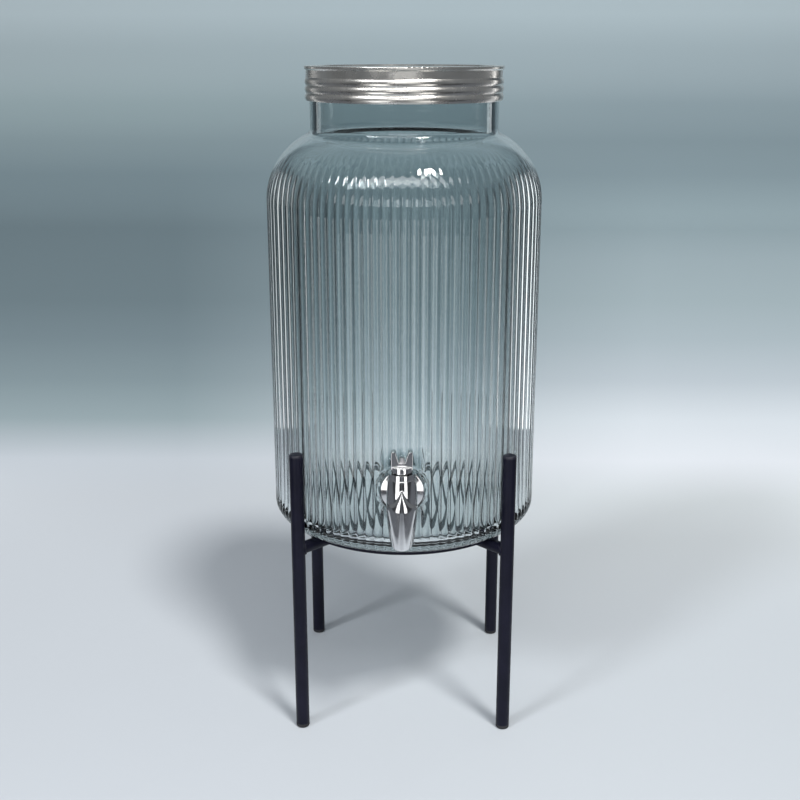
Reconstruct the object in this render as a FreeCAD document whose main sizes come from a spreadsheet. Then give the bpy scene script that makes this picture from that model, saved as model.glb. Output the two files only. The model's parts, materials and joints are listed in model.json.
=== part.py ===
"""Ribbed glass detergent dispenser: screw-lidded jar with a tap, standing in a four-post stand.

Millimetres. The origin is on the floor, on the upright axis of the jar and stand.
+Z is up, the tap points along -Y and +X is to the right of someone facing the tap.
"""
import math
import os
import re

import FreeCAD
import Part
import Sketcher
from FreeCAD import Placement, Rotation, Vector

# Driving sizes. Each one can be changed by itself.
SIZES = {
    # jar
    "jar_radius": 100.0,
    "jar_wall": 4.5,
    "jar_base": 7.0,
    "jar_punt": 2.0,
    "foot_land": 4.0,
    "heel_radius": 12.0,
    "inner_heel_radius": 10.0,
    "body_height": 240.0,
    "shoulder_radius": 52.0,
    "neck_radius": 67.5,
    "neck_height": 43.0,
    "neck_fillet": 4.5,
    "mouth_round": 1.6,
    # screw thread of jar and lid
    "thread_pitch": 8.0,
    "thread_turns": 1.2,
    "thread_depth": 1.2,
    "thread_width": 2.6,
    "thread_flank_gap": 0.35,
    "thread_crest_gap": 0.4,
    "thread_below_mouth": 3.5,
    # lid
    "seal_thickness": 1.2,
    "seal_overhang": 2.0,
    "seal_gap": 0.2,
    "sheet": 0.7,
    "panel_drop": 0.9,
    "lid_depth": 23.7,
    "lid_rim_width": 7.0,
    "lid_rim_flare": 1.1,
    "lid_rim_height": 1.8,
    "lid_rim_round": 0.7,
    "bead_pitch": 5.3,
    "bead_curve": 4.4,
    # stand
    "seat_height": 150.0,
    "post_radius": 5.0,
    "post_wall": 1.2,
    "post_gap": 2.5,
    "post_height": 219.0,
    "cap_height": 2.0,
    "cap_round": 1.2,
    "foot_height": 3.0,
    "foot_round": 1.2,
    "plug_length": 9.0,
    "plug_gap": 0.05,
    "bar_radius": 4.5,
    "ring_width": 8.0,
    "ring_thickness": 3.2,
    # tap
    "tap_height": 202.0,
    "tap_pad": 0.5,
    "tap_pad_radius": 17.0,
    "spot_radius": 15.5,
    "spot_depth": 0.5,
    "gasket_front": 1.5,
    "gasket_rear": 2.0,
    "gasket_radius": 13.5,
    "gasket_inset": 0.5,
    "flange_radius": 15.0,
    "flange_thickness": 3.0,
    "tap_neck": 14.0,
    "tap_neck_radius": 7.2,
    "shank_radius": 8.0,
    "shank_gap": 0.25,
    "shank_end": 2.0,
    "inlet_radius": 4.5,
    "nut_flats": 24.0,
    "nut_height": 7.5,
    "barrel_radius": 9.3,
    "belly_radius": 10.2,
    "belly_drop": 8.0,
    "outlet_radius": 5.2,
    "outlet_wall": 2.1,
    "spout_drop": 34.0,
    "barrel_rise": 16.0,
    "barrel_curve": 102.0,
    "bonnet_height": 3.6,
    "valve_radius": 6.5,
    "valve_gap": 0.05,
    "valve_drop": 12.0,
    "valve_port": 4.0,
    "valve_roof": 5.0,
    "stem_radius": 3.6,
    "stem_gap": 0.1,
    "oring_section": 1.14,
    "oring_groove": 1.36,
    "oring_height": 9.0,
    "handle_gap": 0.5,
    "handle_height": 14.6,
    "handle_width": 14.6,
    "handle_thickness": 7.0,
    "handle_notch": 8.0,
    "ear_radius": 1.6,
    "hub_height": 4.0,
    "screw_radius": 1.2,
    "screw_head_radius": 1.8,
    "screw_head_height": 3.4,
    "screw_length": 7.0,
    "screw_clearance": 1.0,
    # how far a cutting shape runs past the face it starts or ends at
    "overrun": 1.0,
}

BEADS = 3
CORNERS = {
    "front_left": (-1, -1),
    "front_right": (1, -1),
    "back_left": (-1, 1),
    "back_right": (1, 1),
}

doc = FreeCAD.newDocument("dispenser")
sheet = doc.addObject("Spreadsheet::Sheet", "Dims")
for row, (alias, value) in enumerate(SIZES.items(), start=1):
    sheet.set(f"A{row}", alias)
    sheet.set(f"B{row}", str(value))
    sheet.setAlias(f"B{row}", alias)
doc.recompute()

ALIASES = re.compile(r"\b(" + "|".join(SIZES) + r")\b")


def bound(formula):
    """A formula of size names, as an expression that reads the sheet."""
    return ALIASES.sub(r"Dims.\1", formula)


def number(formula):
    """What a formula of size names comes to now."""
    return float(sheet.evalExpression(bound(formula)))


# Places that several pieces share, as formulas of the sizes above.
POST_CIRCLE = "(jar_radius + post_gap + post_radius)"
POST_AXIS = f"({POST_CIRCLE} / sqrt(2))"
LAND_RADIUS = "(jar_radius - heel_radius)"
BAR_HEIGHT = "(seat_height - bar_radius)"
INNER_RADIUS = "(jar_radius - jar_wall)"
MOUTH_RADIUS = "(neck_radius - jar_wall)"
FLOOR_HEIGHT = "(seat_height + jar_base)"
SHOULDER_START = "(seat_height + body_height)"
SHOULDER_AXIS = "(jar_radius - shoulder_radius)"
NECK_START = f"({SHOULDER_START} + sqrt(shoulder_radius^2 - (neck_radius - {SHOULDER_AXIS})^2))"
MOUTH_HEIGHT = f"({NECK_START} + neck_height)"
THREAD_TOP = f"({MOUTH_HEIGHT} - thread_below_mouth)"
THREAD_START = f"({THREAD_TOP} - thread_width / 2 - thread_pitch * thread_turns)"
PANEL_UNDERSIDE = f"({MOUTH_HEIGHT} + seal_thickness)"
PANEL_TOP = f"({PANEL_UNDERSIDE} + sheet)"
LID_TOP = f"({PANEL_TOP} + panel_drop)"
LID_BOTTOM = f"({LID_TOP} - lid_depth)"
SKIRT_INNER = "(neck_radius + thread_depth + thread_crest_gap)"
SKIRT_OUTER = f"({SKIRT_INNER} + sheet)"
PAD_FACE = "(jar_radius + tap_pad)"
BARREL_REACH = f"({PAD_FACE} + gasket_front + flange_thickness + tap_neck)"
SPOT_FACE = f"({INNER_RADIUS} + spot_depth)"
SHANK_OUTER_FACE = f"({BARREL_REACH} - {SPOT_FACE})"
SHANK_TIP = f"({SHANK_OUTER_FACE} + gasket_rear + nut_height + shank_end)"
BONNET_TOP = "(barrel_rise + bonnet_height)"
HANDLE_BOTTOM = f"({BONNET_TOP} + handle_gap)"
HANDLE_TOP = f"({HANDLE_BOTTOM} + handle_height)"
NOTCH_BOTTOM = f"({HANDLE_TOP} - handle_notch)"
STEM_TOP = f"({HANDLE_BOTTOM} + hub_height)"
GROOVE_RADIUS = "(valve_radius - valve_gap / 2 - oring_section)"
SCREW_TIP = f"({NOTCH_BOTTOM} - screw_length)"
SCREW_TOP = f"({NOTCH_BOTTOM} + screw_head_height)"

pieces = []


def new_body(name):
    """A PartDesign body that becomes one file."""
    body = doc.addObject("PartDesign::Body", name)
    body.Label = name
    pieces.append(body)
    return body


def place(body, x="0", y="0", z="0"):
    """Move a finished piece to formulas of the sizes."""
    for axis, formula in (("x", x), ("y", y), ("z", z)):
        body.setExpression(f"Placement.Base.{axis}", bound(formula))


def new_sketch(body, name, plane):
    """A sketch on one of the body's own origin planes."""
    sketch = body.newObject("Sketcher::SketchObject", name)
    planes = {feature.Role: feature for feature in body.Origin.OriginFeatures}
    sketch.AttachmentSupport = [(planes[plane], "")]
    sketch.MapMode = "FlatFace"
    return sketch


def bind(sketch, constraint, formula):
    """Add a dimension to the sketch and tie it to the sheet."""
    index = sketch.addConstraint(constraint)
    sketch.setExpression(f"Constraints[{index}]", bound(formula))


def arc_between(first, last, radius, turn):
    """The short arc from first to last; turn is +1 where it bends left and -1 where it bends right."""
    chord = last - first
    rise = math.sqrt(max(radius ** 2 - (chord.Length / 2) ** 2, 0.0))
    left = Vector(-chord.y, chord.x, 0).normalize()
    centre = (first + last) / 2 + left * (rise * turn)
    if turn < 0:
        first, last = last, first
    start = math.atan2(first.y - centre.y, first.x - centre.x)
    end = math.atan2(last.y - centre.y, last.x - centre.x)
    circle = Part.Circle(centre, Vector(0, 0, 1), radius)
    return Part.ArcOfCircle(circle, start, end)


def outline(sketch, corners):
    """A closed outline. A corner is (x, y), reached by a straight side, or (x, y, radius, turn),
    reached by an arc. Coordinates and radii are formulas of the sizes."""
    points = [Vector(number(corner[0]), number(corner[1]), 0) for corner in corners]
    ends = []
    for index, corner in enumerate(corners):
        first, last = points[index - 1], points[index]
        if len(corner) == 2:
            edge = sketch.addGeometry(Part.LineSegment(first, last))
            ends.append((edge, 1, 2))
        else:
            radius, turn = corner[2:]
            edge = sketch.addGeometry(arc_between(first, last, number(radius), turn))
            ends.append((edge, 1, 2) if turn > 0 else (edge, 2, 1))
    for index, corner in enumerate(corners):
        edge, _, last = ends[index]
        follower, first, _ = ends[(index + 1) % len(corners)]
        sketch.addConstraint(Sketcher.Constraint("Coincident", edge, last, follower, first))
        for kind, axis, formula in (("DistanceX", -2, corner[0]), ("DistanceY", -1, corner[1])):
            if formula == "0":
                sketch.addConstraint(Sketcher.Constraint("PointOnObject", edge, last, axis))
            else:
                at = number(formula)
                bind(sketch, Sketcher.Constraint(kind, -1, 1, edge, last, at), formula)
        if len(corner) == 4:
            bind(sketch, Sketcher.Constraint("Radius", edge, number(corner[2])), corner[2])


def feature(body, kind, sketch, sizes, **settings):
    """A sketched feature, its sizes tied to the sheet. It must change the volume."""
    doc.recompute()
    before = body.Shape.Volume if body.Tip else 0.0
    made = body.newObject(f"PartDesign::{kind}", f"{sketch.Name}_{kind}")
    made.Profile = sketch
    for name, value in settings.items():
        setattr(made, name, value)
    for name, formula in sizes.items():
        made.setExpression(name, bound(formula))
    doc.recompute()
    if abs(made.Shape.Volume - before) < 1e-6:
        raise RuntimeError(f"{made.Name} changes nothing")


def turned(body, name, corners, kind="Revolution", plane="XZ_Plane", about="V_Axis"):
    """A solid of revolution, or a groove, about an axis of the sketch."""
    sketch = new_sketch(body, name, plane)
    outline(sketch, corners)
    feature(body, kind, sketch, {}, ReferenceAxis=(sketch, [about]), Angle=360.0)


def circle_at(sketch, radius, height="0"):
    """A circle centred on the sketch's upright axis."""
    middle = Vector(0, number(height), 0)
    circle = sketch.addGeometry(Part.Circle(middle, Vector(0, 0, 1), number(radius)))
    if height == "0":
        sketch.addConstraint(Sketcher.Constraint("Coincident", circle, 3, -1, 1))
    else:
        sketch.addConstraint(Sketcher.Constraint("PointOnObject", circle, 3, -2))
        bind(sketch, Sketcher.Constraint("DistanceY", -1, 1, circle, 3, number(height)), height)
    bind(sketch, Sketcher.Constraint("Radius", circle, number(radius)), radius)


def washer(name, inner, outer, bottom, top):
    """A flat ring about the upright axis."""
    body = new_body(name)
    turned(body, f"{name}_section", [(inner, bottom), (outer, bottom), (outer, top), (inner, top)])


# ---------------------------------------------------------------- stand

def at_corner(piece, corner, height):
    """Move a piece to one of the four posts' axes."""
    side, end = CORNERS[corner]
    place(piece, f"{side} * {POST_AXIS}", f"{end} * {POST_AXIS}", height)


def post(corner):
    """An upright tube, open at both ends for its foot and its cap."""
    body = new_body(f"post_{corner}")
    sketch = new_sketch(body, f"post_{corner}_section", "XY_Plane")
    circle_at(sketch, "post_radius")
    circle_at(sketch, "post_radius - post_wall")
    feature(body, "Pad", sketch, {"Length": "post_height - foot_height - cap_height"})
    at_corner(body, corner, "foot_height")


def tube_plug(name, corner, height, rounding, base, up):
    """A foot or a cap: a disc as wide as the post with a stem that plugs into it.
    Up is 1 for a foot, whose stem points up, and -1 for a cap, whose stem points down."""
    body = new_body(name)
    stem = "(post_radius - post_wall - plug_gap)"
    turned(body, f"{name}_section", [
        ("0", f"{up} * ({height} + plug_length)"),
        ("0", "0"),
        (f"post_radius - {rounding}", "0"),
        ("post_radius", f"{up} * {rounding}", rounding, up),
        ("post_radius", f"{up} * {height}"),
        (stem, f"{up} * {height}"),
        (stem, f"{up} * ({height} + plug_length)"),
    ])
    at_corner(body, corner, base)


def rod(name, radius, length, rotation=Rotation()):
    """A plain cylinder, turned so that it runs along the given direction."""
    cylinder = doc.addObject("Part::Cylinder", name)
    cylinder.setExpression("Radius", bound(radius))
    cylinder.setExpression("Height", bound(length))
    cylinder.Placement = Placement(Vector(), rotation)
    return cylinder


def post_space(corner):
    """The room that a post takes up, to cut from the bars that meet it."""
    space = rod(f"post_space_{corner}", "post_radius", "post_height")
    at_corner(space, corner, "0")
    return space


def ring_room():
    """The room that the support ring takes up, to cut from the bars under it."""
    room = doc.addObject("Part::Cut", "ring_room")
    room.Base = rod("ring_room_outer", LAND_RADIUS, "ring_thickness")
    room.Tool = rod("ring_room_inner", f"{LAND_RADIUS} - ring_width", "ring_thickness")
    for cylinder in (room.Base, room.Tool):
        place(cylinder, z="seat_height - ring_thickness")
    return room


def compass(angle):
    """Turn a cylinder's upright axis to lie level, at an angle from +X."""
    return Rotation(Vector(0, 0, 1), angle) * Rotation(Vector(0, 1, 0), 90)


for corner_name in CORNERS:
    post(corner_name)
    tube_plug(f"post_cap_{corner_name}", corner_name, "cap_height", "cap_round", "post_height", -1)
    tube_plug(f"post_foot_{corner_name}", corner_name, "foot_height", "foot_round", "0", 1)
washer("support_ring", f"{LAND_RADIUS} - ring_width", LAND_RADIUS,
       "seat_height - ring_thickness", "seat_height")
bar_cutters = [post_space(corner_name) for corner_name in CORNERS]
bar_cutters.append(ring_room())


def crossbar(name, angle, length, x, y, extra):
    """A round bar, coped to the posts and notched so that the ring lies flush with its top."""
    blank = rod(f"{name}_blank", "bar_radius", length, compass(angle))
    place(blank, x, y, BAR_HEIGHT)
    tools = doc.addObject("Part::MultiFuse", f"{name}_spaces")
    tools.Shapes = bar_cutters + extra
    bar = doc.addObject("Part::Cut", name)
    bar.Label = name
    bar.Base = blank
    bar.Tool = tools
    pieces.append(bar)
    return blank


long_blank = crossbar("crossbar_long", 45, f"2 * {POST_CIRCLE}",
                      f"-1 * {POST_AXIS}", f"-1 * {POST_AXIS}", [])
crossbar("crossbar_half_front", -45, POST_CIRCLE, "0", "0", [long_blank])
crossbar("crossbar_half_back", 135, POST_CIRCLE, "0", "0", [long_blank])

# ---------------------------------------------------------------- jar


def shoulder_point(radius, sign):
    """Where the neck's fillet leaves the shoulder arc; sign is 1 outside the wall, -1 inside."""
    fillet = "neck_fillet" if sign > 0 else "(neck_fillet + jar_wall)"
    arc = "shoulder_radius" if sign > 0 else "(shoulder_radius - jar_wall)"
    across = f"({radius} + {fillet} - {SHOULDER_AXIS})"
    reach = f"({arc} + {fillet})"
    up = f"sqrt({reach}^2 - {across}^2)"
    on_arc = (f"{SHOULDER_AXIS} + {across} * {arc} / {reach}",
              f"{SHOULDER_START} + {up} * {arc} / {reach}")
    on_neck = (radius, f"{SHOULDER_START} + {up}")
    return on_arc, on_neck, fillet, arc


def helix_ridge(body, name, root, crest, start):
    """A tapered thread ridge wound on a wall, leaning from its root to its crest."""
    sketch = new_sketch(body, name, "XZ_Plane")
    section = [
        (root, f"{start} - thread_width / 2"),
        (crest, f"{start} - thread_width / 4"),
        (crest, f"{start} + thread_width / 4"),
        (root, f"{start} + thread_width / 2"),
    ]
    outline(sketch, section)
    feature(body, "AdditiveHelix", sketch, {"Pitch": "thread_pitch", "Turns": "thread_turns"},
            ReferenceAxis=(sketch, ["V_Axis"]), Mode="pitch-turns-angle", Angle=0.0, Growth=0.0)


def tap_disc(body, name, kind, radius, start, depth):
    """A round pad or pocket on the tap's axis, from a distance out from the jar's axis.
    A pad grows outwards and a pocket is cut inwards."""
    sketch = new_sketch(body, name, "XZ_Plane")
    sketch.setExpression("AttachmentOffset.Base.z", bound(start))
    circle_at(sketch, radius, "tap_height")
    feature(body, kind, sketch, {"Length": depth})


def glass_jar():
    """The blown jar: one wall from the punt to the mouth, with thread and tap seat.
    It is written as four level slices, so that each can have simple collision hulls."""
    body = doc.addObject("PartDesign::Body", "glass_whole")
    on_shoulder, on_neck, fillet, arc = shoulder_point("neck_radius", 1)
    in_shoulder, in_neck, in_fillet, in_arc = shoulder_point(MOUTH_RADIUS, -1)
    turned(body, "jar_section", [
        ("0", FLOOR_HEIGHT),
        ("0", "seat_height + jar_punt"),
        (f"{LAND_RADIUS} - foot_land - 2 * jar_punt", "seat_height + jar_punt"),
        (f"{LAND_RADIUS} - foot_land", "seat_height"),
        (LAND_RADIUS, "seat_height"),
        ("jar_radius", "seat_height + heel_radius", "heel_radius", 1),
        ("jar_radius", SHOULDER_START),
        (*on_shoulder, arc, 1),
        (*on_neck, fillet, -1),
        ("neck_radius", f"{MOUTH_HEIGHT} - mouth_round"),
        ("neck_radius - mouth_round", MOUTH_HEIGHT, "mouth_round", 1),
        (f"{MOUTH_RADIUS} + mouth_round", MOUTH_HEIGHT),
        (MOUTH_RADIUS, f"{MOUTH_HEIGHT} - mouth_round", "mouth_round", 1),
        in_neck,
        (*in_shoulder, in_fillet, 1),
        (INNER_RADIUS, SHOULDER_START, in_arc, -1),
        (INNER_RADIUS, f"{FLOOR_HEIGHT} + inner_heel_radius"),
        (f"{INNER_RADIUS} - inner_heel_radius", FLOOR_HEIGHT, "inner_heel_radius", -1),
    ])
    helix_ridge(body, "neck_thread", "neck_radius - jar_wall / 4", "neck_radius + thread_depth",
                THREAD_START)
    tap_disc(body, "tap_pad", "Pad", "tap_pad_radius", f"{INNER_RADIUS} + jar_wall / 2",
             "jar_wall / 2 + tap_pad")
    tap_disc(body, "tap_hole", "Pocket", "shank_radius + shank_gap", f"{PAD_FACE} + overrun",
             "overrun + tap_pad + jar_wall + tap_pad_radius")
    tap_disc(body, "tap_spot_face", "Pocket", "spot_radius", SPOT_FACE, "tap_pad_radius")
    neck_bottom = on_neck[1]
    for name, low, high in (("glass_jar_base", "0", FLOOR_HEIGHT),
                            ("glass_jar_wall", FLOOR_HEIGHT, SHOULDER_START),
                            ("glass_jar_shoulder", SHOULDER_START, neck_bottom),
                            ("glass_jar_neck", neck_bottom, f"({MOUTH_HEIGHT} + overrun)")):
        slab = rod(f"{name}_slab", "jar_radius + overrun + tap_pad", f"{high} - {low}")
        place(slab, z=low)
        level_slice = doc.addObject("Part::Common", name)
        level_slice.Label = name
        level_slice.Base = body
        level_slice.Tool = slab
        pieces.append(level_slice)


glass_jar()

# ---------------------------------------------------------------- lid


def lid_shell():
    """The pressed metal lid: recessed panel, flared rim, rolled beads and a thread ridge inside."""
    body = new_body("lid_shell")
    rim_outer = f"({SKIRT_OUTER} + lid_rim_flare)"
    skirt = [
        ("0", PANEL_UNDERSIDE),
        (SKIRT_INNER, PANEL_UNDERSIDE),
        (SKIRT_INNER, LID_BOTTOM),
        (SKIRT_OUTER, LID_BOTTOM),
    ]
    for bead in range(1, BEADS + 1):
        skirt.append((SKIRT_OUTER, f"{LID_BOTTOM} + {bead} * bead_pitch", "bead_curve", 1))
    skirt += [
        (SKIRT_OUTER, f"{LID_TOP} - lid_rim_height - lid_rim_flare"),
        (rim_outer, f"{LID_TOP} - lid_rim_height"),
        (rim_outer, f"{LID_TOP} - lid_rim_round"),
        (f"{rim_outer} - lid_rim_round", LID_TOP, "lid_rim_round", 1),
        (f"{rim_outer} - lid_rim_width + panel_drop", LID_TOP),
        (f"{rim_outer} - lid_rim_width", PANEL_TOP),
        ("0", PANEL_TOP),
    ]
    turned(body, "lid_section", skirt)
    helix_ridge(body, "lid_thread", f"{SKIRT_INNER} + sheet / 2", "neck_radius + thread_crest_gap",
                f"({THREAD_START} - thread_width - thread_flank_gap)")


lid_shell()
washer("lid_seal", f"{MOUTH_RADIUS} - seal_overhang", f"{SKIRT_INNER} - seal_gap",
       MOUTH_HEIGHT, PANEL_UNDERSIDE)

# ---------------------------------------------------------------- tap
# The tap's pieces are drawn about the point where its upright barrel meets its level shank:
# +X to the right, +Y back towards the jar, +Z up.


def at_tap(body):
    """Move a tap piece to the front of the jar."""
    place(body, y=f"-1 * {BARREL_REACH}", z="tap_height")


def level_turn(body, name, corners, kind="Revolution"):
    """A turned shape about the tap's level axis: x runs from the barrel to the jar, y is the radius."""
    turned(body, name, corners, kind, plane="YZ_Plane", about="H_Axis")


def tap_body():
    """Barrel, spout, flange and shank in one casting, bored for the valve and the inlet."""
    body = new_body("tap_body")
    spout_outer = "(outlet_radius + outlet_wall)"
    turned(body, "barrel_section", [
        ("0", "-1 * spout_drop"),
        (spout_outer, "-1 * spout_drop"),
        ("belly_radius", "-1 * belly_drop", "barrel_curve", 1),
        ("barrel_radius", "barrel_rise", "barrel_curve", 1),
        ("0", "barrel_rise"),
    ])
    level_turn(body, "shank_section", [
        ("0", "0"),
        (SHANK_TIP, "0"),
        (SHANK_TIP, "shank_radius"),
        ("tap_neck + flange_thickness", "shank_radius"),
        ("tap_neck + flange_thickness", "flange_radius"),
        ("tap_neck + flange_thickness / 2", "flange_radius"),
        ("tap_neck", "tap_neck_radius"),
        ("0", "tap_neck_radius"),
    ])
    turned(body, "valve_bore", [
        ("0", "-1 * spout_drop"),
        ("outlet_radius", "-1 * spout_drop"),
        ("outlet_radius", "-1 * valve_drop"),
        ("valve_radius", "-1 * valve_drop"),
        ("valve_radius", "barrel_rise"),
        ("0", "barrel_rise"),
    ], kind="Groove")
    level_turn(body, "inlet_bore", [
        ("0", "0"),
        ("0", "inlet_radius"),
        (SHANK_TIP, "inlet_radius"),
        (SHANK_TIP, "0"),
    ], kind="Groove")
    at_tap(body)


def tap_valve():
    """The turning plug: hollow below, with one side port, two ring grooves and a stem on top."""
    body = new_body("tap_plug")
    plug = "(valve_radius - valve_gap)"
    corners = [("0", "valve_roof"), ("valve_port", "valve_roof"),
               ("valve_port", "-1 * valve_drop"), (plug, "-1 * valve_drop")]
    for middle in ("-1 * oring_height", "oring_height"):
        for radius, edge in ((plug, "-1"), (GROOVE_RADIUS, "-1"), (GROOVE_RADIUS, "1"), (plug, "1")):
            corners.append((radius, f"{middle} + {edge} * oring_groove / 2"))
    corners += [(plug, "barrel_rise"), ("stem_radius", "barrel_rise"), ("stem_radius", STEM_TOP),
                ("0", STEM_TOP)]
    turned(body, "plug_section", corners)
    port = new_sketch(body, "side_port", "YZ_Plane")
    circle_at(port, "valve_port")
    feature(body, "Pocket", port, {"Length": "valve_radius + overrun"}, Reversed=True)
    screw_hole(body, "stem_hole", STEM_TOP)
    at_tap(body)


def screw_hole(body, name, top):
    """The blind hole for the handle's screw, from a height down past the screw's tip."""
    turned(body, name, [
        ("0", f"{SCREW_TIP} - screw_clearance"),
        ("screw_radius", f"{SCREW_TIP} - screw_clearance"),
        ("screw_radius", top),
        ("0", top),
    ], kind="Groove")


def tap_handle():
    """The two-lobed handle that is pinched and turned: a round hub with two upright ears."""
    body = new_body("tap_handle")
    turned(body, "hub_section", [
        ("0", HANDLE_BOTTOM),
        ("handle_width / 2", HANDLE_BOTTOM),
        ("handle_width / 2", STEM_TOP),
        ("0", STEM_TOP),
    ])
    side = "(handle_width / 2)"
    notch = f"({side} - 2 * ear_radius)"
    shoulder = f"({HANDLE_TOP} - ear_radius)"
    ears = new_sketch(body, "ears", "XZ_Plane")
    outline(ears, [
        (f"-1 * {side}", f"{HANDLE_BOTTOM} + hub_height / 2"),
        (side, f"{HANDLE_BOTTOM} + hub_height / 2"),
        (side, shoulder),
        (f"{side} - ear_radius", HANDLE_TOP, "ear_radius", 1),
        (notch, shoulder, "ear_radius", 1),
        (f"{notch} / 2", NOTCH_BOTTOM),
        (f"-1 * {notch} / 2", NOTCH_BOTTOM),
        (f"-1 * {notch}", shoulder),
        (f"-1 * {side} + ear_radius", HANDLE_TOP, "ear_radius", 1),
        (f"-1 * {side}", shoulder, "ear_radius", 1),
    ])
    feature(body, "Pad", ears, {"Length": "handle_thickness"}, SideType="Symmetric")
    turned(body, "stem_socket", [
        ("0", HANDLE_BOTTOM),
        ("stem_radius + stem_gap", HANDLE_BOTTOM),
        ("stem_radius + stem_gap", STEM_TOP),
        ("screw_radius", STEM_TOP),
        ("screw_radius", NOTCH_BOTTOM),
        ("0", NOTCH_BOTTOM),
    ], kind="Groove")
    at_tap(body)


def handle_screw():
    """The pan-head screw that holds the handle down on the valve's stem."""
    body = new_body("handle_screw")
    turned(body, "screw_section", [
        ("0", SCREW_TIP),
        ("screw_radius", SCREW_TIP),
        ("screw_radius", NOTCH_BOTTOM),
        ("screw_head_radius", NOTCH_BOTTOM),
        ("screw_head_radius", SCREW_TOP),
        ("0", SCREW_TOP),
    ])
    at_tap(body)


def bonnet_ring():
    """The screwed collar that keeps the plug in the barrel."""
    body = new_body("tap_bonnet_ring")
    turned(body, "bonnet_section", [
        ("stem_radius + stem_gap", "barrel_rise"),
        ("barrel_radius", "barrel_rise"),
        ("barrel_radius", BONNET_TOP),
        ("stem_radius + stem_gap", BONNET_TOP),
    ])
    at_tap(body)


def o_ring(name, height):
    """A rubber ring in one of the plug's grooves."""
    ring = doc.addObject("Part::Torus", name)
    ring.Label = name
    ring.setExpression("Radius1", bound("valve_radius - valve_gap / 4 - oring_section / 2"))
    ring.setExpression("Radius2", bound("oring_section / 2"))
    place(ring, y=f"-1 * {BARREL_REACH}", z=f"tap_height + {height}")
    pieces.append(ring)


def gasket(name, outer, start, thickness):
    """A flat rubber ring round the tap's shank."""
    body = new_body(name)
    level_turn(body, f"{name}_section", [
        (start, "shank_radius"),
        (start, outer),
        (f"{start} + {thickness}", outer),
        (f"{start} + {thickness}", "shank_radius"),
    ])
    at_tap(body)


def shank_nut():
    """The hexagonal nut inside the jar that clamps the tap's flange to the glass."""
    body = new_body("tap_nut")
    start = f"({SHANK_OUTER_FACE} + gasket_rear)"
    sketch = new_sketch(body, "nut_section", "XZ_Plane")
    sketch.setExpression("AttachmentOffset.Base.z", bound(f"-1 * {start}"))
    corner = "(nut_flats / sqrt(3))"
    outline(sketch, [
        (corner, "0"),
        (f"{corner} / 2", "nut_flats / 2"),
        (f"-1 * {corner} / 2", "nut_flats / 2"),
        (f"-1 * {corner}", "0"),
        (f"-1 * {corner} / 2", "-1 * nut_flats / 2"),
        (f"{corner} / 2", "-1 * nut_flats / 2"),
    ])
    feature(body, "Pad", sketch, {"Length": "nut_height"}, Reversed=True)
    bore = new_sketch(body, "nut_bore", "XZ_Plane")
    circle_at(bore, "shank_radius")
    feature(body, "Pocket", bore, {"Length": f"{SHANK_TIP} + overrun"})
    at_tap(body)


tap_body()
tap_valve()
bonnet_ring()
o_ring("tap_oring_upper", "oring_height")
o_ring("tap_oring_lower", "-1 * oring_height")
tap_handle()
handle_screw()
gasket("tap_gasket_front", "flange_radius - gasket_inset", "(tap_neck + flange_thickness)",
       "gasket_front")
gasket("tap_gasket_rear", "gasket_radius", SHANK_OUTER_FACE, "gasket_rear")
shank_nut()

# ---------------------------------------------------------------- check and write

doc.recompute()
for item in doc.Objects:
    faults = {"Invalid", "Error"} & set(item.State)
    if faults:
        raise RuntimeError(f"{item.Name} failed: {item.State}")
for piece in pieces:
    if piece.Shape.isNull() or not piece.Shape.isValid():
        raise RuntimeError(f"{piece.Label} has no valid shape")

os.makedirs("parts", exist_ok=True)
for piece in pieces:
    piece.Shape.exportStep(f"parts/{piece.Label}.step")
print(len(pieces), "pieces written")
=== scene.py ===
"""Looks for the ribbed glass detergent dispenser: glass, metal, chrome and paint around the CAD frame."""
import json
import math

import bmesh
import bpy
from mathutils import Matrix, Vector


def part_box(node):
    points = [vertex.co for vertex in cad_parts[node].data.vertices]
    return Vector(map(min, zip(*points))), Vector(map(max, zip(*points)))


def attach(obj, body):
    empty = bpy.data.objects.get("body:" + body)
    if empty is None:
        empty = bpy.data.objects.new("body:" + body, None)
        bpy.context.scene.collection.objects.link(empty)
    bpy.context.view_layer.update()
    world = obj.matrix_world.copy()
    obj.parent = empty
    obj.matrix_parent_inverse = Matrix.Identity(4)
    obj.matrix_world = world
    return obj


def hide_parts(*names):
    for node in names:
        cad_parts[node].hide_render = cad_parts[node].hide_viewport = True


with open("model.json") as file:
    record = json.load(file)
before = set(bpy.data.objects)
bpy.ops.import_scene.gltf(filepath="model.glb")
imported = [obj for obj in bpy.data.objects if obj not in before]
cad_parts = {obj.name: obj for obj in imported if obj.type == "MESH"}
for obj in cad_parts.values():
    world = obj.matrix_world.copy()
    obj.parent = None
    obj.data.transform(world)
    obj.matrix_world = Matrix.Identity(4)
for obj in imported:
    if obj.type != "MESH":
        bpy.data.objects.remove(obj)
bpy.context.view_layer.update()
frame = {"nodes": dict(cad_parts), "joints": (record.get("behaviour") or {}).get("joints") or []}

MM = 0.001
TURN = 2 * math.pi

# ------------------------------------------------------------------ sizes read from the frame
GLASS_SLICES = ("glass_jar_base", "glass_jar_wall", "glass_jar_shoulder", "glass_jar_neck")
slice_boxes = [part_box(name) for name in GLASS_SLICES]
jar_low = Vector([min(box[0][axis] for box in slice_boxes) for axis in range(3)])
jar_high = Vector([max(box[1][axis] for box in slice_boxes) for axis in range(3)])
tap_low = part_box("tap_body")[0]
seat = jar_low.z
mouth = jar_high.z
jar_radius = jar_high.x
tap_turn = next(joint for joint in frame["joints"] if joint["name"] == "tap_turn")
_, barrel_y, tap_height = tap_turn["pos_m"]
pad_face = -jar_low.y

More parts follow.
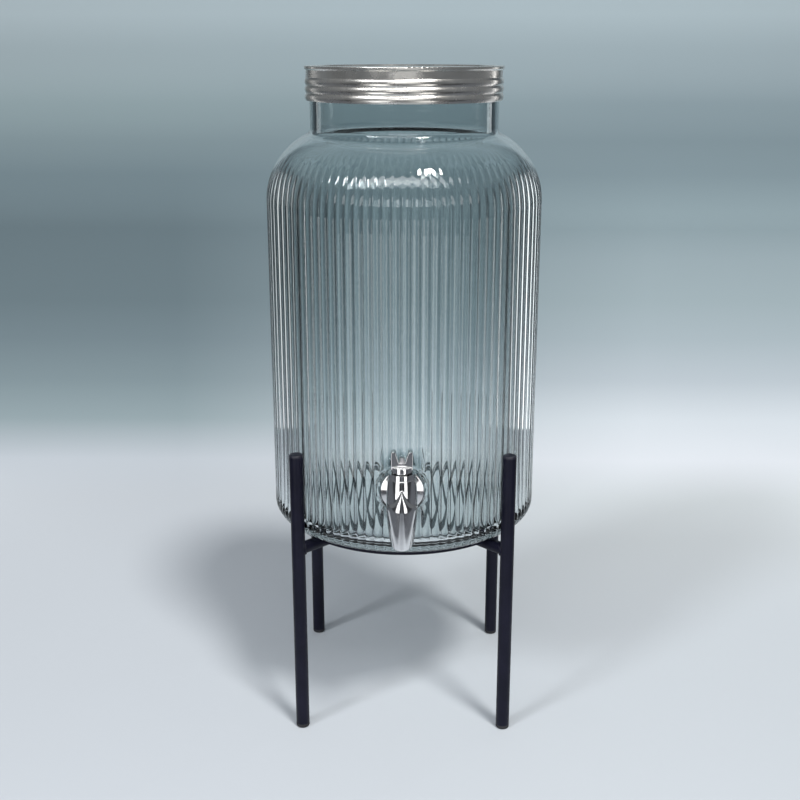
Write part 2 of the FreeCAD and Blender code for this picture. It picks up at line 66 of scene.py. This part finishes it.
# Sizes that the frame's boxes don't give.
wall = 4.5 * MM
base = 7 * MM
punt = 2 * MM
land = 4 * MM
heel = 12 * MM
shoulder_start = seat + 240 * MM
shoulder_arc = 52 * MM
neck_radius = 67.5 * MM
neck_fillet = 4.5 * MM
mouth_round = 1.6 * MM
inner_heel = 10 * MM
punt_edge = 1.6 * MM
centre_hole = 8 * MM
thread_pitch = 8 * MM
thread_turns = 1.2
thread_end = 0.04
thread_depth = 1.2 * MM
thread_width = 2.6 * MM
thread_start = mouth - 3.5 * MM - thread_width / 2 - thread_pitch * thread_turns
pad_radius = 17 * MM
pad_blend = 1.5 * MM
hole_radius = 8.25 * MM
spot_radius = 15.5 * MM
ribs = 96
rib_depth = 1.25 * MM
rib_steps = 8
rib_start = (1.6 * MM, 5 * MM)
rib_fade = (6 * MM, 35 * MM)
rib_end_angle = 44
shield_point = 9.5 * MM
shield_widest = -5 * MM
shield_half = 11 * MM
shield_half_low = 7.2 * MM
shield_half_point = 0.4 * MM
shield_proud = 12.4 * MM
shield_proud_low = 11.5 * MM
shield_proud_point = 11.2 * MM
outlet_radius = 5.2 * MM
outlet_roof = 12 * MM
stand_gap = 7.5 * MM
bar_radius = 4.5 * MM
post_radius = 5 * MM
ring_width = 8 * MM
weld_sink = 0.2 * MM
post_bead = 1.0 * MM
ring_bead = 0.7 * MM


# ------------------------------------------------------------------ mesh helpers

def add_mesh(name, points, faces):
    """A smooth-shaded object from lists of points and faces."""
    mesh = bpy.data.meshes.new(name)
    mesh.from_pydata([tuple(point) for point in points], [], faces)
    mesh.validate()
    mesh.shade_smooth()
    piece = bpy.data.objects.new(name, mesh)
    bpy.context.scene.collection.objects.link(piece)
    return piece


def finish_piece(piece, body, slot, material, *replaced):
    """Hang a piece on its body, paint it and hide the CAD nodes it stands for."""
    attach(piece, body)
    if replaced:
        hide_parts(*replaced)
    piece.data.materials.clear()
    piece.data.materials.append(material)
    return piece


def arc(centre, radius, start, end, steps):
    """Points along an arc in the (radius, height) plane; angles in degrees."""
    angles = [math.radians(start + (end - start) * step / steps) for step in range(steps + 1)]
    return [(centre[0] + radius * math.cos(a), centre[1] + radius * math.sin(a)) for a in angles]


def spread(low, high, steps):
    """Evenly spaced values from low to high, both included."""
    return [low + (high - low) * step / steps for step in range(steps + 1)]


def eased(value, low, high):
    """0 below low, 1 above high and a smooth ramp between."""
    part = min(max((value - low) / (high - low), 0.0), 1.0)
    return part * part * (3 - 2 * part)


def stitch(first, second):
    """Faces between two rings of point numbers; one ring may have a whole number of times more points."""
    faces = []
    few, many = (first, second) if len(first) <= len(second) else (second, first)
    ratio = len(many) // len(few)
    for index, corner in enumerate(few):
        following = few[(index + 1) % len(few)]
        span = [many[(index * ratio + step) % len(many)] for step in range(ratio + 1)]
        face = [following, corner] + span
        faces.append(face if few is first else face[::-1])
    return faces


def ringed(name, rings):
    """A closed skin, facing outwards, through rings of points from first to last."""
    points, faces, numbers = [], [], []
    for ring in rings:
        numbers.append(list(range(len(points), len(points) + len(ring))))
        points.extend(ring)
    for first, second in zip(numbers, numbers[1:]):
        faces.extend(stitch(first, second))
    faces.append(numbers[0][::-1])
    faces.append(numbers[-1])
    return recalculate(add_mesh(name, points, faces))


def circle(radius, height, count, centre=(0.0, 0.0)):
    """Points round an upright axis."""
    return [(centre[0] + radius * math.cos(TURN * step / count),
             centre[1] + radius * math.sin(TURN * step / count), height) for step in range(count)]


def recalculate(piece):
    """Turn every face outwards."""
    skin = bmesh.new()
    skin.from_mesh(piece.data)
    bmesh.ops.recalc_face_normals(skin, faces=skin.faces)
    skin.to_mesh(piece.data)
    skin.free()
    return piece


def apply_modifiers(piece):
    """Replace a piece's mesh with what its modifiers make of it."""
    graph = bpy.context.evaluated_depsgraph_get()
    made = bpy.data.meshes.new_from_object(piece.evaluated_get(graph))
    piece.modifiers.clear()
    piece.data = made
    return piece


# ------------------------------------------------------------------ materials

class Surface:
    """A Principled material with short ways to add procedural detail."""

    def __init__(self, name, colour, **sockets):
        self.material = bpy.data.materials.new(name)
        self.material.use_nodes = True
        self.tree = self.material.node_tree
        self.shader = self.tree.nodes["Principled BSDF"]
        self.shader.inputs["Base Color"].default_value = (*colour, 1)
        for socket, value in sockets.items():
            self.shader.inputs[socket.replace("_", " ")].default_value = value
        self.place = self.tree.nodes.new("ShaderNodeTexCoord").outputs["Object"]
        self.normal = None

    def scaled(self, stretch):
        """Object coordinates stretched by a factor along each axis."""
        mapping = self.tree.nodes.new("ShaderNodeMapping")
        mapping.inputs["Scale"].default_value = stretch
        self.tree.links.new(self.place, mapping.inputs["Vector"])
        return mapping.outputs["Vector"]

    def noise(self, scale, detail=3.0, rough=0.5, stretch=(1, 1, 1)):
        """Cloudy noise, 0 to 1."""
        noise = self.tree.nodes.new("ShaderNodeTexNoise")
        noise.inputs["Scale"].default_value = scale
        noise.inputs["Detail"].default_value = detail
        noise.inputs["Roughness"].default_value = rough
        self.tree.links.new(self.scaled(stretch), noise.inputs["Vector"])
        return noise.outputs["Fac"]

    def height(self):
        """Height above the table in metres."""
        split = self.tree.nodes.new("ShaderNodeSeparateXYZ")
        self.tree.links.new(self.place, split.inputs["Vector"])
        return split.outputs["Z"]

    def cells(self, scale):
        """Distance to the nearest cell centre."""
        cell = self.tree.nodes.new("ShaderNodeTexVoronoi")
        cell.inputs["Scale"].default_value = scale
        self.tree.links.new(self.scaled((1, 1, 1)), cell.inputs["Vector"])
        return cell.outputs["Distance"]

    def vary(self, socket, source, low, high, start=0.3, end=0.7):
        """Drive a shader value between low and high by a source."""
        span = self.tree.nodes.new("ShaderNodeMapRange")
        span.inputs["From Min"].default_value = start
        span.inputs["From Max"].default_value = end
        span.inputs["To Min"].default_value = low
        span.inputs["To Max"].default_value = high
        self.tree.links.new(source, span.inputs["Value"])
        self.tree.links.new(span.outputs["Result"], self.shader.inputs[socket])
        return self

    def tint(self, source, first, second, start=0.3, end=0.7):
        """Blend the base colour between two colours by a source."""
        ramp = self.tree.nodes.new("ShaderNodeValToRGB")
        ramp.color_ramp.elements[0].position = start
        ramp.color_ramp.elements[0].color = (*first, 1)
        ramp.color_ramp.elements[1].position = end
        ramp.color_ramp.elements[1].color = (*second, 1)
        self.tree.links.new(source, ramp.inputs["Fac"])
        self.tree.links.new(ramp.outputs["Color"], self.shader.inputs["Base Color"])
        return self

    def bump(self, source, depth, strength=1.0):
        """Raise the surface by a source; depth in metres. Bumps stack."""
        bump = self.tree.nodes.new("ShaderNodeBump")
        bump.inputs["Distance"].default_value = depth
        bump.inputs["Strength"].default_value = strength
        self.tree.links.new(source, bump.inputs["Height"])
        if self.normal:
            self.tree.links.new(self.normal, bump.inputs["Normal"])
        self.normal = bump.outputs["Normal"]
        self.tree.links.new(self.normal, self.shader.inputs["Normal"])
        return self


def glass_surface():
    """Pressed soda-lime glass: faintly green-grey, a little wavy, with painted shade darkening it toward
    the shoulder.
    """
    glass = Surface("pressed_glass", (0.86, 0.91, 0.915), Transmission_Weight=1.0, IOR=1.5)
    # Painted shade: the base colour darkens with height between 0.16 and 0.29 m.
    glass.tint(glass.height(), (0.86, 0.91, 0.915), (0.74, 0.80, 0.81), 0.16, 0.29)
    glass.vary("Roughness", glass.noise(90, 4), 0.0, 0.03, 0.45, 0.8)
    glass.bump(glass.noise(14, 2, stretch=(1, 1, 0.25)), 0.3 * MM, 0.2)
    return glass.material


def lid_surface():
    """Bright rolled tinplate with fine turning marks and faint handling haze."""
    metal = Surface("lid_tinplate", (0.84, 0.82, 0.78), Metallic=1.0, Roughness=0.25)
    metal.tint(metal.noise(35, 4), (0.74, 0.71, 0.66), (0.90, 0.89, 0.86))
    metal.vary("Roughness", metal.noise(60, 5, 0.6), 0.18, 0.36)
    metal.bump(metal.noise(260, 3, stretch=(0.12, 0.12, 6)), 0.05 * MM, 0.4)
    metal.bump(metal.noise(22, 2), 0.25 * MM, 0.3)
    return metal.material


def chrome_surface():
    """Polished chrome plating with fingerprints and a slight moulded ripple."""
    chrome = Surface("chrome_plate", (0.80, 0.80, 0.81), Metallic=1.0, Roughness=0.06)
    chrome.tint(chrome.noise(120, 3), (0.74, 0.735, 0.74), (0.85, 0.85, 0.86))
    chrome.vary("Roughness", chrome.noise(160, 5, 0.6), 0.04, 0.14)
    chrome.bump(chrome.noise(90, 2), 0.12 * MM, 0.25)
    return chrome.material


def powder_surface():
    """Near-black blue powder coat: fine orange peel, worn a little brighter here and there."""
    coat = Surface("powder_coat", (0.005, 0.005, 0.014), Roughness=0.45, Specular_IOR_Level=0.18)
    coat.tint(coat.noise(45, 5, 0.65), (0.0035, 0.004, 0.011), (0.008, 0.008, 0.02))
    coat.vary("Roughness", coat.noise(200, 4), 0.34, 0.5)
    coat.bump(coat.cells(900), 0.06 * MM, 0.5)
    coat.bump(coat.noise(420, 2), 0.05 * MM, 0.4)
    return coat.material


def plastic_surface(name, dark, light, rough):
    """Moulded plastic or rubber with a fine grain."""
    plastic = Surface(name, light, Roughness=rough)
    plastic.tint(plastic.noise(110, 4), dark, light)
    plastic.vary("Roughness", plastic.noise(240, 3), rough - 0.06, rough + 0.08)
    plastic.bump(plastic.noise(1500, 2), 0.03 * MM, 0.5)
    return plastic.material


GLASS = glass_surface()
LID = lid_surface()
CHROME = chrome_surface()
POWDER = powder_surface()
CAP = plastic_surface("black_cap", (0.008, 0.008, 0.018), (0.016, 0.016, 0.03), 0.4)
FOOT = plastic_surface("foot_rubber", (0.012, 0.012, 0.014), (0.022, 0.022, 0.026), 0.75)
SILICONE = plastic_surface("seal_silicone", (0.58, 0.6, 0.6), (0.7, 0.71, 0.71), 0.45)
NUT = plastic_surface("nut_plastic", (0.62, 0.62, 0.62), (0.74, 0.74, 0.74), 0.35)
VALVE = plastic_surface("valve_plastic", (0.5, 0.5, 0.5), (0.62, 0.62, 0.62), 0.4)
LINER = plastic_surface("foam_liner", (0.72, 0.72, 0.7), (0.82, 0.82, 0.8), 0.7)
SCREW = plastic_surface("screw_steel", (0.45, 0.45, 0.46), (0.6, 0.6, 0.62), 0.3)
SCREW.node_tree.nodes["Principled BSDF"].inputs["Metallic"].default_value = 1.0


# ------------------------------------------------------------------ glass jar

def rib_at(angle):
    """How far below a rib's crest the glass lies at an angle, 0 on the crest and 1 in the valley."""
    across = (angle * ribs / TURN) % 1.0 * 2 - 1
    return across * across


def ribbed_ring(radius, height, depth, count):
    """One ring of the jar's outside, with ribs of a given depth, and flattened round the tap."""
    ring = []
    for step in range(count):
        angle = TURN * step / count
        out = radius - depth * rib_at(angle)
        side = out * math.cos(angle)
        if math.sin(angle) < 0 and depth > 0:
            reach = math.hypot(side, height - tap_height)
            flat = pad_face / -math.sin(angle)
            out += (flat - out) * (1 - eased(reach, pad_radius, pad_radius + pad_blend))
        ring.append((out * math.cos(angle), out * math.sin(angle), height))
    return ring


def thread_rise(angle, height):
    """Share of the thread's full depth, 0 to 1, at an angle (0 to a turn) and a height on the neck."""
    best = 0.0
    for winding in range(int(thread_turns) + 1):
        turned = angle / TURN + winding
        if turned > thread_turns:
            continue
        offset = abs(height - thread_start - thread_pitch * turned)
        ends = eased(turned, 0.0, thread_end)
        ends *= 1 - eased(turned, thread_turns - thread_end, thread_turns)
        best = max(best, ends * (1 - eased(offset, thread_width / 4, thread_width / 2)))
    return best


def glass_jar():
    """The whole jar as one closed skin: outside from foot to mouth, then inside down to the floor."""
    fine = ribs * rib_steps
    plain = fine // 4
    axis = jar_radius - shoulder_arc
    fillet_reach = neck_radius + neck_fillet - axis
    lift = math.sqrt((shoulder_arc + neck_fillet) ** 2 - fillet_reach ** 2)
    fillet_centre = (neck_radius + neck_fillet, shoulder_start + lift)
    meet = math.degrees(math.atan2(lift, fillet_reach))
    land_radius = jar_radius - heel

    rings = [circle(radius, seat + punt, plain) for radius in (centre_hole, 40 * MM, 74 * MM)]
    rings += [circle(*point, plain) for point in
              arc((land_radius - land - 2 * punt, seat + punt - punt_edge), punt_edge, 90, 45, 3)]
    rings.append(circle(land_radius - land, seat + 0.3 * MM, plain))
    rings.append(circle(land_radius - land + 0.5 * MM, seat, plain))
    rings.append(circle(land_radius - 0.6 * MM, seat, plain))
    for radius, height in arc((land_radius, seat + heel), heel, -90, 0, 14):
        depth = rib_depth * eased(height - seat, *rib_start)
        rings.append(ribbed_ring(radius, height, depth, fine))
    tap_zone = spread(tap_height - pad_radius - 3 * MM, tap_height + pad_radius + 3 * MM, 32)
    for height in tap_zone + [tap_height + 45 * MM, shoulder_start - 60 * MM, shoulder_start - 4 * MM]:
        rings.append(ribbed_ring(jar_radius, height, rib_depth, fine))
    for radius, height in arc((axis, shoulder_start), shoulder_arc, 0, rib_end_angle, 16):
        depth = rib_depth * (1 - eased(height - shoulder_start, *rib_fade))
        rings.append(ribbed_ring(radius, height, depth, fine))
    rings += [circle(*point, plain) for point in
              arc((axis, shoulder_start), shoulder_arc, rib_end_angle + 3, meet, 8)]
    rings += [circle(*point, plain) for point in arc(fillet_centre, neck_fillet, 180 + meet, 180, 6)[1:]]
    lip = mouth - mouth_round
    rings.append(circle(neck_radius, thread_start - 6 * MM, plain))
    for height in spread(thread_start - thread_width, lip, 42):
        ring = []
        for step in range(plain):
            angle = TURN * step / plain
            out = neck_radius + thread_depth * thread_rise(angle, height)
            ring.append((out * math.cos(angle), out * math.sin(angle), height))
        rings.append(ring)
    outer_lip = (neck_radius - mouth_round, lip)
    rings += [circle(*point, plain) for point in arc(outer_lip, mouth_round, 15, 90, 5)]
    inner_lip = (neck_radius - wall + mouth_round, lip)
    rings += [circle(*point, plain) for point in arc(inner_lip, mouth_round, 90, 180, 6)]
    inner_fillet = neck_fillet + wall
    rings += [circle(*point, plain) for point in arc(fillet_centre, inner_fillet, 180, 180 + meet, 8)]
    rings += [circle(*point, plain) for point in
              arc((axis, shoulder_start), shoulder_arc - wall, meet, 0, 16)[1:]]
    inner_radius = jar_radius - wall
    floor = seat + base
    for height in (shoulder_start - 80 * MM, tap_height + 30 * MM, tap_height - 30 * MM):
        rings.append(circle(inner_radius, height, plain))
    rings += [circle(*point, plain) for point in
              arc((inner_radius - inner_heel, floor + inner_heel), inner_heel, 0, -90, 8)]
    rings += [circle(radius, floor, plain) for radius in (60 * MM, 30 * MM, centre_hole)]
    return ringed("jar_glass", rings)


def level_cylinder(name, radius, near, far):
    """A closed cylinder along the tap's level axis, between two distances from the jar's axis."""
    ends = []
    for out in (near, far):
        ends.append([(x, -out, tap_height + z) for x, z, _ in circle(radius, 0.0, 96)])
    return ringed(name, ends)


def cut(piece, tool):
    """Take one closed piece away from another."""
    modifier = piece.modifiers.new("cut", "BOOLEAN")
    modifier.object = tool
    modifier.operation = "DIFFERENCE"
    modifier.solver = "EXACT"
    apply_modifiers(piece)
    bpy.data.objects.remove(tool)
    return piece


jar = glass_jar()
tool_start = pad_face - 30 * MM
cut(jar, level_cylinder("hole_tool", hole_radius, tool_start, pad_face + 5 * MM))
cut(jar, level_cylinder("spot_tool", spot_radius, tool_start, jar_radius - wall + 0.5 * MM))
jar.data.shade_smooth()
finish_piece(jar, "jar", "ribbed_glass", GLASS, *GLASS_SLICES)

# ------------------------------------------------------------------ tap

def twin(node):
    """A copy of a CAD node's mesh as a new object."""
    copy = bpy.data.objects.new(f"{node}_twin", frame["nodes"][node].data.copy())
    bpy.context.scene.collection.objects.link(copy)
    return copy


def cast(name, parts, voxel, rounds):
    """Melt overlapping closed pieces into one skin with softened edges, as a casting has."""
    skin = bmesh.new()
    for part in parts:
        skin.from_mesh(part.data)
        bpy.data.objects.remove(part)
    mesh = bpy.data.meshes.new(name)
    skin.to_mesh(mesh)
    skin.free()
    piece = bpy.data.objects.new(name, mesh)
    bpy.context.scene.collection.objects.link(piece)
    remesh = piece.modifiers.new("melt", "REMESH")
    remesh.mode = "VOXEL"
    remesh.voxel_size = voxel
    smooth = piece.modifiers.new("soften", "SMOOTH")
    smooth.iterations = rounds
    apply_modifiers(piece)
    piece.data.shade_smooth()
    return piece


def spout_shield():
    """The raised front of the spout: a pointed arch that swells forward and narrows to the outlet."""
    bottom = tap_low.z - tap_height + 0.4 * MM
    rings = []
    for height in spread(bottom, shield_point, 44):
        if height > shield_widest:
            share = (height - shield_widest) / (shield_point - shield_widest)
            half = shield_half + (shield_half_point - shield_half) * share ** 1.5
            proud = shield_proud + (shield_proud_point - shield_proud) * share
        else:
            share = (height - shield_widest) / (bottom - shield_widest)
            half = shield_half + (shield_half_low - shield_half) * share ** 1.2
            proud = shield_proud + (shield_proud_low - shield_proud) * share ** 3
        rings.append([(half * math.sin(a), barrel_y - proud * math.cos(a), tap_height + height)
                      for a in spread(-math.pi / 2, math.pi / 2, 28)])
    return ringed("shield", rings)


def outlet_tool():
    """The bore of the spout, cut again after the shield is added."""
    low, high = tap_low.z - 2 * MM, tap_height - outlet_roof
    rings = [circle(outlet_radius, height, 64, (0.0, barrel_y)) for height in (low, high)]
    return ringed("outlet_tool", rings)


shield = cut(spout_shield(), outlet_tool())
tap = cast("tap_casting", [twin("tap_body"), shield], 0.3 * MM, 6)
finish_piece(tap, "jar", "chrome", CHROME, "tap_body")
handle = cast("tap_turn_handle", [twin("tap_handle")], 0.2 * MM, 8)
finish_piece(handle, "tap_valve", "chrome", CHROME, "tap_handle")

# ------------------------------------------------------------------ welds of the stand

WELD_SIDES = 10


def weld(name, path, size):
    """A bead of weld metal along a path, rippled like a row of coins."""
    rings = []
    for index, point in enumerate(path):
        before, after = path[max(index - 1, 0)], path[min(index + 1, len(path) - 1)]
        along = (after - before).normalized()
        side = along.cross(Vector((0.31, 0.17, 0.93))).normalized()
        up = along.cross(side)
        radius = size * (0.86 + 0.2 * abs(math.sin(index * 1.05)))
        rings.append([point + (side * math.cos(a) + up * math.sin(a)) * radius
                      for a in spread(0, TURN, WELD_SIDES)[:-1]])
    finish_piece(ringed(name, rings), "stand", "black_paint", POWDER)


bar_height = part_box("crossbar_long")[0].z + bar_radius
ring_low, ring_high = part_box("support_ring")
post_circle = jar_radius + stand_gap
for quarter, corner in enumerate(("front_left", "front_right", "back_right", "back_left")):
    azimuth = math.radians(225 + 90 * quarter)
    out = Vector((math.cos(azimuth), math.sin(azimuth), 0))
    across = Vector((-out.y, out.x, 0))
    loop = []
    for a in spread(0, TURN, 48):
        aside, lift = bar_radius * math.cos(a), bar_radius * math.sin(a)
        near = math.sqrt(post_radius ** 2 - aside ** 2)
        reach = post_circle - near - weld_sink
        loop.append(out * reach + across * aside + Vector((0, 0, bar_height + lift)))
    weld(f"weld_post_{corner}", loop, post_bead)
    for edge, reach in (("inner", ring_high.x - ring_width), ("outer", ring_high.x)):
        for side_name, side in (("left", -1), ("right", 1)):
            path = [out * reach + across * (side * (bar_radius * 0.62 + rise * 0.8))
                    + Vector((0, 0, ring_low.z + rise)) for rise in spread(0.2 * MM, 2.2 * MM, 4)]
            weld(f"weld_ring_{corner}_{edge}_{side_name}", path, ring_bead)

# ------------------------------------------------------------------ carried-over CAD nodes
FINISH = {
    "post_cap": CAP, "post_foot": FOOT, "post_": POWDER, "crossbar": POWDER, "support_ring": POWDER,
    "lid_shell": LID, "lid_seal": LINER, "tap_body": CHROME, "tap_bonnet": CHROME, "tap_handle": CHROME,
    "tap_gasket": SILICONE, "tap_oring": SILICONE, "tap_nut": NUT, "tap_plug": VALVE, "handle_screw": SCREW,
}
for node, piece in frame["nodes"].items():
    for start, finish in FINISH.items():
        if node.startswith(start):
            piece.data.materials.clear()
            piece.data.materials.append(finish)
            break

# ------------------------------------------------------------------ stage, light and camera

# Colour of the paper to the left and right of the object, by how far back it lies plus its height: painted
# light and shade, a dark painted band behind the object and a painted pool of light on the right.
LEFT_PAPER_PAINTED_LIGHT_SHADE = [
    (-0.6, 0.58, 0.62, 0.67), (0.4, 0.60, 0.64, 0.69), (0.53, 0.61, 0.66, 0.72),
    (0.7, 0.35, 0.435, 0.47), (0.9, 0.265, 0.34, 0.375), (1.17, 0.21, 0.275, 0.31),
    (1.5, 0.176, 0.235, 0.265), (2.6, 0.158, 0.21, 0.237), (2.95, 0.18, 0.24, 0.27),
    (3.13, 0.24, 0.31, 0.34), (3.3, 0.34, 0.43, 0.46), (3.6, 0.64, 0.75, 0.80),
]
RIGHT_PAPER_PAINTED_LIGHT_SHADE = [
    (-0.6, 0.60, 0.64, 0.69), (0.1, 0.62, 0.665, 0.71), (0.28, 0.655, 0.70, 0.735),
    (0.4, 0.74, 0.79, 0.825), (0.53, 0.86, 0.90, 0.96), (0.7, 0.79, 0.85, 0.91),
    (0.9, 0.60, 0.67, 0.73), (1.17, 0.49, 0.575, 0.625), (1.5, 0.43, 0.52, 0.56),
    (2.0, 0.39, 0.475, 0.515), (2.7, 0.30, 0.38, 0.415), (2.95, 0.24, 0.31, 0.345),
    (3.13, 0.24, 0.31, 0.345), (3.3, 0.31, 0.39, 0.43), (3.6, 0.64, 0.75, 0.80),
]


def paper_grades(tree, along, stops):
    """A colour that follows a value through (place, red, green, blue) stops."""
    low, high = stops[0][0], stops[-1][0]
    span = tree.nodes.new("ShaderNodeMapRange")
    span.inputs["From Min"].default_value = low
    span.inputs["From Max"].default_value = high
    ramp = tree.nodes.new("ShaderNodeValToRGB")
    while len(ramp.color_ramp.elements) < len(stops):
        ramp.color_ramp.elements.new(0.5)
    for element, (at, *colour) in zip(ramp.color_ramp.elements, stops):
        element.position = (at - low) / (high - low)
        element.color = (*colour, 1)
    tree.links.new(along, span.inputs["Value"])
    tree.links.new(span.outputs["Result"], ramp.inputs["Fac"])
    return ramp.outputs["Color"]


def combine(tree, operation, first, second):
    """A Math node on two sources or numbers."""
    node = tree.nodes.new("ShaderNodeMath")
    node.operation = operation
    for socket, source in zip(node.inputs, (first, second)):
        if isinstance(source, float):
            socket.default_value = source
        else:
            tree.links.new(source, socket)
    return node.outputs["Value"]


def mix_colours(tree, blend, factor, first, second):
    """A colour Mix node on two colours; the factor is a source or a number."""
    node = tree.nodes.new("ShaderNodeMix")
    node.data_type = "RGBA"
    node.blend_type = blend
    sockets = {socket.name: socket for socket in node.inputs if socket.enabled}
    for name, source in (("Factor", factor), ("A", first), ("B", second)):
        if isinstance(source, float):
            sockets[name].default_value = source
        else:
            tree.links.new(source, sockets[name])
    return next(socket for socket in node.outputs if socket.enabled)


def studio():
    """A pale floor that curves up into a far backdrop, with painted shade in front and at either side and
    painted light and shade graded over it.
    """
    width, near, back, bend, top = 9.0, -3.0, 3.0, 0.5, 3.0
    profile = [(near, 0.0), (-0.4, 0.0), (0.4, 0.0), (back - bend, 0.0)]
    profile += [(back - bend + bend * math.sin(a), bend - bend * math.cos(a))
                for a in spread(0.1, math.pi / 2, 16)]
    profile.append((back, top))
    points = [(side * width / 2, y, z - 0.0002) for y, z in profile for side in (-1, 1)]
    faces = [(2 * i, 2 * i + 1, 2 * i + 3, 2 * i + 2) for i in range(len(profile) - 1)]
    floor = add_mesh("studio_floor", points, faces)
    paper = Surface("studio_paper", (0.6, 0.65, 0.68), Roughness=0.9, Specular_IOR_Level=0.1)
    tree = paper.tree
    split = tree.nodes.new("ShaderNodeSeparateXYZ")
    tree.links.new(paper.place, split.inputs["Vector"])
    x, y, z = split.outputs["X"], split.outputs["Y"], split.outputs["Z"]
    depth = combine(tree, "ADD", y, z)
    spacing = combine(tree, "MAXIMUM", combine(tree, "ADD", y, 0.9), 0.1)
    aside = combine(tree, "DIVIDE", x, spacing)
    # Painted light and shade: the paper's colour follows depth through the left and right grades.
    left = paper_grades(tree, depth, LEFT_PAPER_PAINTED_LIGHT_SHADE)
    right = paper_grades(tree, depth, RIGHT_PAPER_PAINTED_LIGHT_SHADE)
    # Painted shade: the floor darkens toward the front.
    front = paper_grades(tree, y, [(-0.6, 0.22, 0.22, 0.23), (-0.3, 1, 1, 1)])
    across = paper_grades(tree, aside, [(-0.2, 0, 0, 0), (0.2, 1, 1, 1)])
    # Painted shade: dark strips on the paper at either side, standing in for a dark room.
    dim = (0.2, 0.2, 0.21)
    painted_room_shade = paper_grades(tree, aside, [(-0.46, *dim), (-0.38, 1, 1, 1), (0.38, 1, 1, 1), (0.46, *dim)])
    blended = mix_colours(tree, "MIX", across, left, right)
    for shade in (painted_room_shade, front):
        blended = mix_colours(tree, "MULTIPLY", 1.0, blended, shade)
    tree.links.new(blended, paper.shader.inputs["Base Color"])
    floor.data.materials.append(paper.material)


def area_light(name, place, target, size, power, colour=(1, 1, 1)):
    """A rectangular soft light aimed at a point."""
    data = bpy.data.lights.new(name, "AREA")
    data.shape = "RECTANGLE"
    data.size, data.size_y = size
    data.energy = power
    data.color = colour
    light = bpy.data.objects.new(name, data)
    light.location = place
    light.rotation_euler = (Vector(target) - Vector(place)).to_track_quat("-Z", "Y").to_euler()
    light.visible_camera = False
    bpy.context.scene.collection.objects.link(light)


def sun(name, source, power, softness, colour=(1, 1, 1)):
    """Far light from a direction; softness is the width of its disc in degrees."""
    data = bpy.data.lights.new(name, "SUN")
    data.energy = power
    data.angle = math.radians(softness)
    data.color = colour
    light = bpy.data.objects.new(name, data)
    light.rotation_euler = (-Vector(source)).to_track_quat("-Z", "Y").to_euler()
    bpy.context.scene.collection.objects.link(light)


def world_light(colour, strength):
    """Plain dim light from everywhere."""
    world = bpy.data.worlds.new("studio_world")
    bpy.context.scene.world = world
    world.use_nodes = True
    background = world.node_tree.nodes["Background"]
    background.inputs["Color"].default_value = (*colour, 1)
    background.inputs["Strength"].default_value = strength


def camera():
    """A normal lens in front, a little above the lid, tilted down."""
    turn = math.radians(0.8)
    distance, height, tilt, aside = 0.8646, 0.4952, math.radians(16.64), -0.003
    across = Vector((math.cos(turn), math.sin(turn), 0))
    data = bpy.data.cameras.new("camera")
    data.lens = 52.85
    data.sensor_width = 36
    view = bpy.data.objects.new("camera", data)
    view.location = Vector((math.sin(turn) * distance, -math.cos(turn) * distance, height)) + across * aside
    view.rotation_euler = (math.pi / 2 - tilt, 0, turn)
    bpy.context.scene.collection.objects.link(view)
    bpy.context.scene.camera = view


studio()
world_light((0.85, 0.9, 0.95), 0.17)
sun("window_left", (-0.62, -0.62, 0.7), 0.85, 12, (0.96, 0.98, 1.0))
sun("window_right", (0.32, -0.5, 0.95), 1.75, 11, (1.0, 0.98, 0.95))
area_light("lamp_row", (0, -1.1, 1.45), (0, 0, 0.35), (1.7, 0.3), 8)
area_light("window_low", (0, -2.4, 0.95), (0, 0, 0.4), (1.5, 0.45), 6)
area_light("panel_left", (-0.3, -0.56, 0.165), (0, -0.12, 0.19), (0.26, 0.31), 0.5)
area_light("panel_right", (0.26, -0.56, 0.165), (0, -0.12, 0.19), (0.19, 0.31), 0.35)
area_light("rim_left", (-0.62, 0.42, 0.3), (0, 0, 0.3), (0.08, 0.62), 0.15)
area_light("rim_right", (0.62, 0.42, 0.3), (0, 0, 0.3), (0.08, 0.62), 0.28)
camera()
bpy.context.scene.view_settings.view_transform = "Standard"
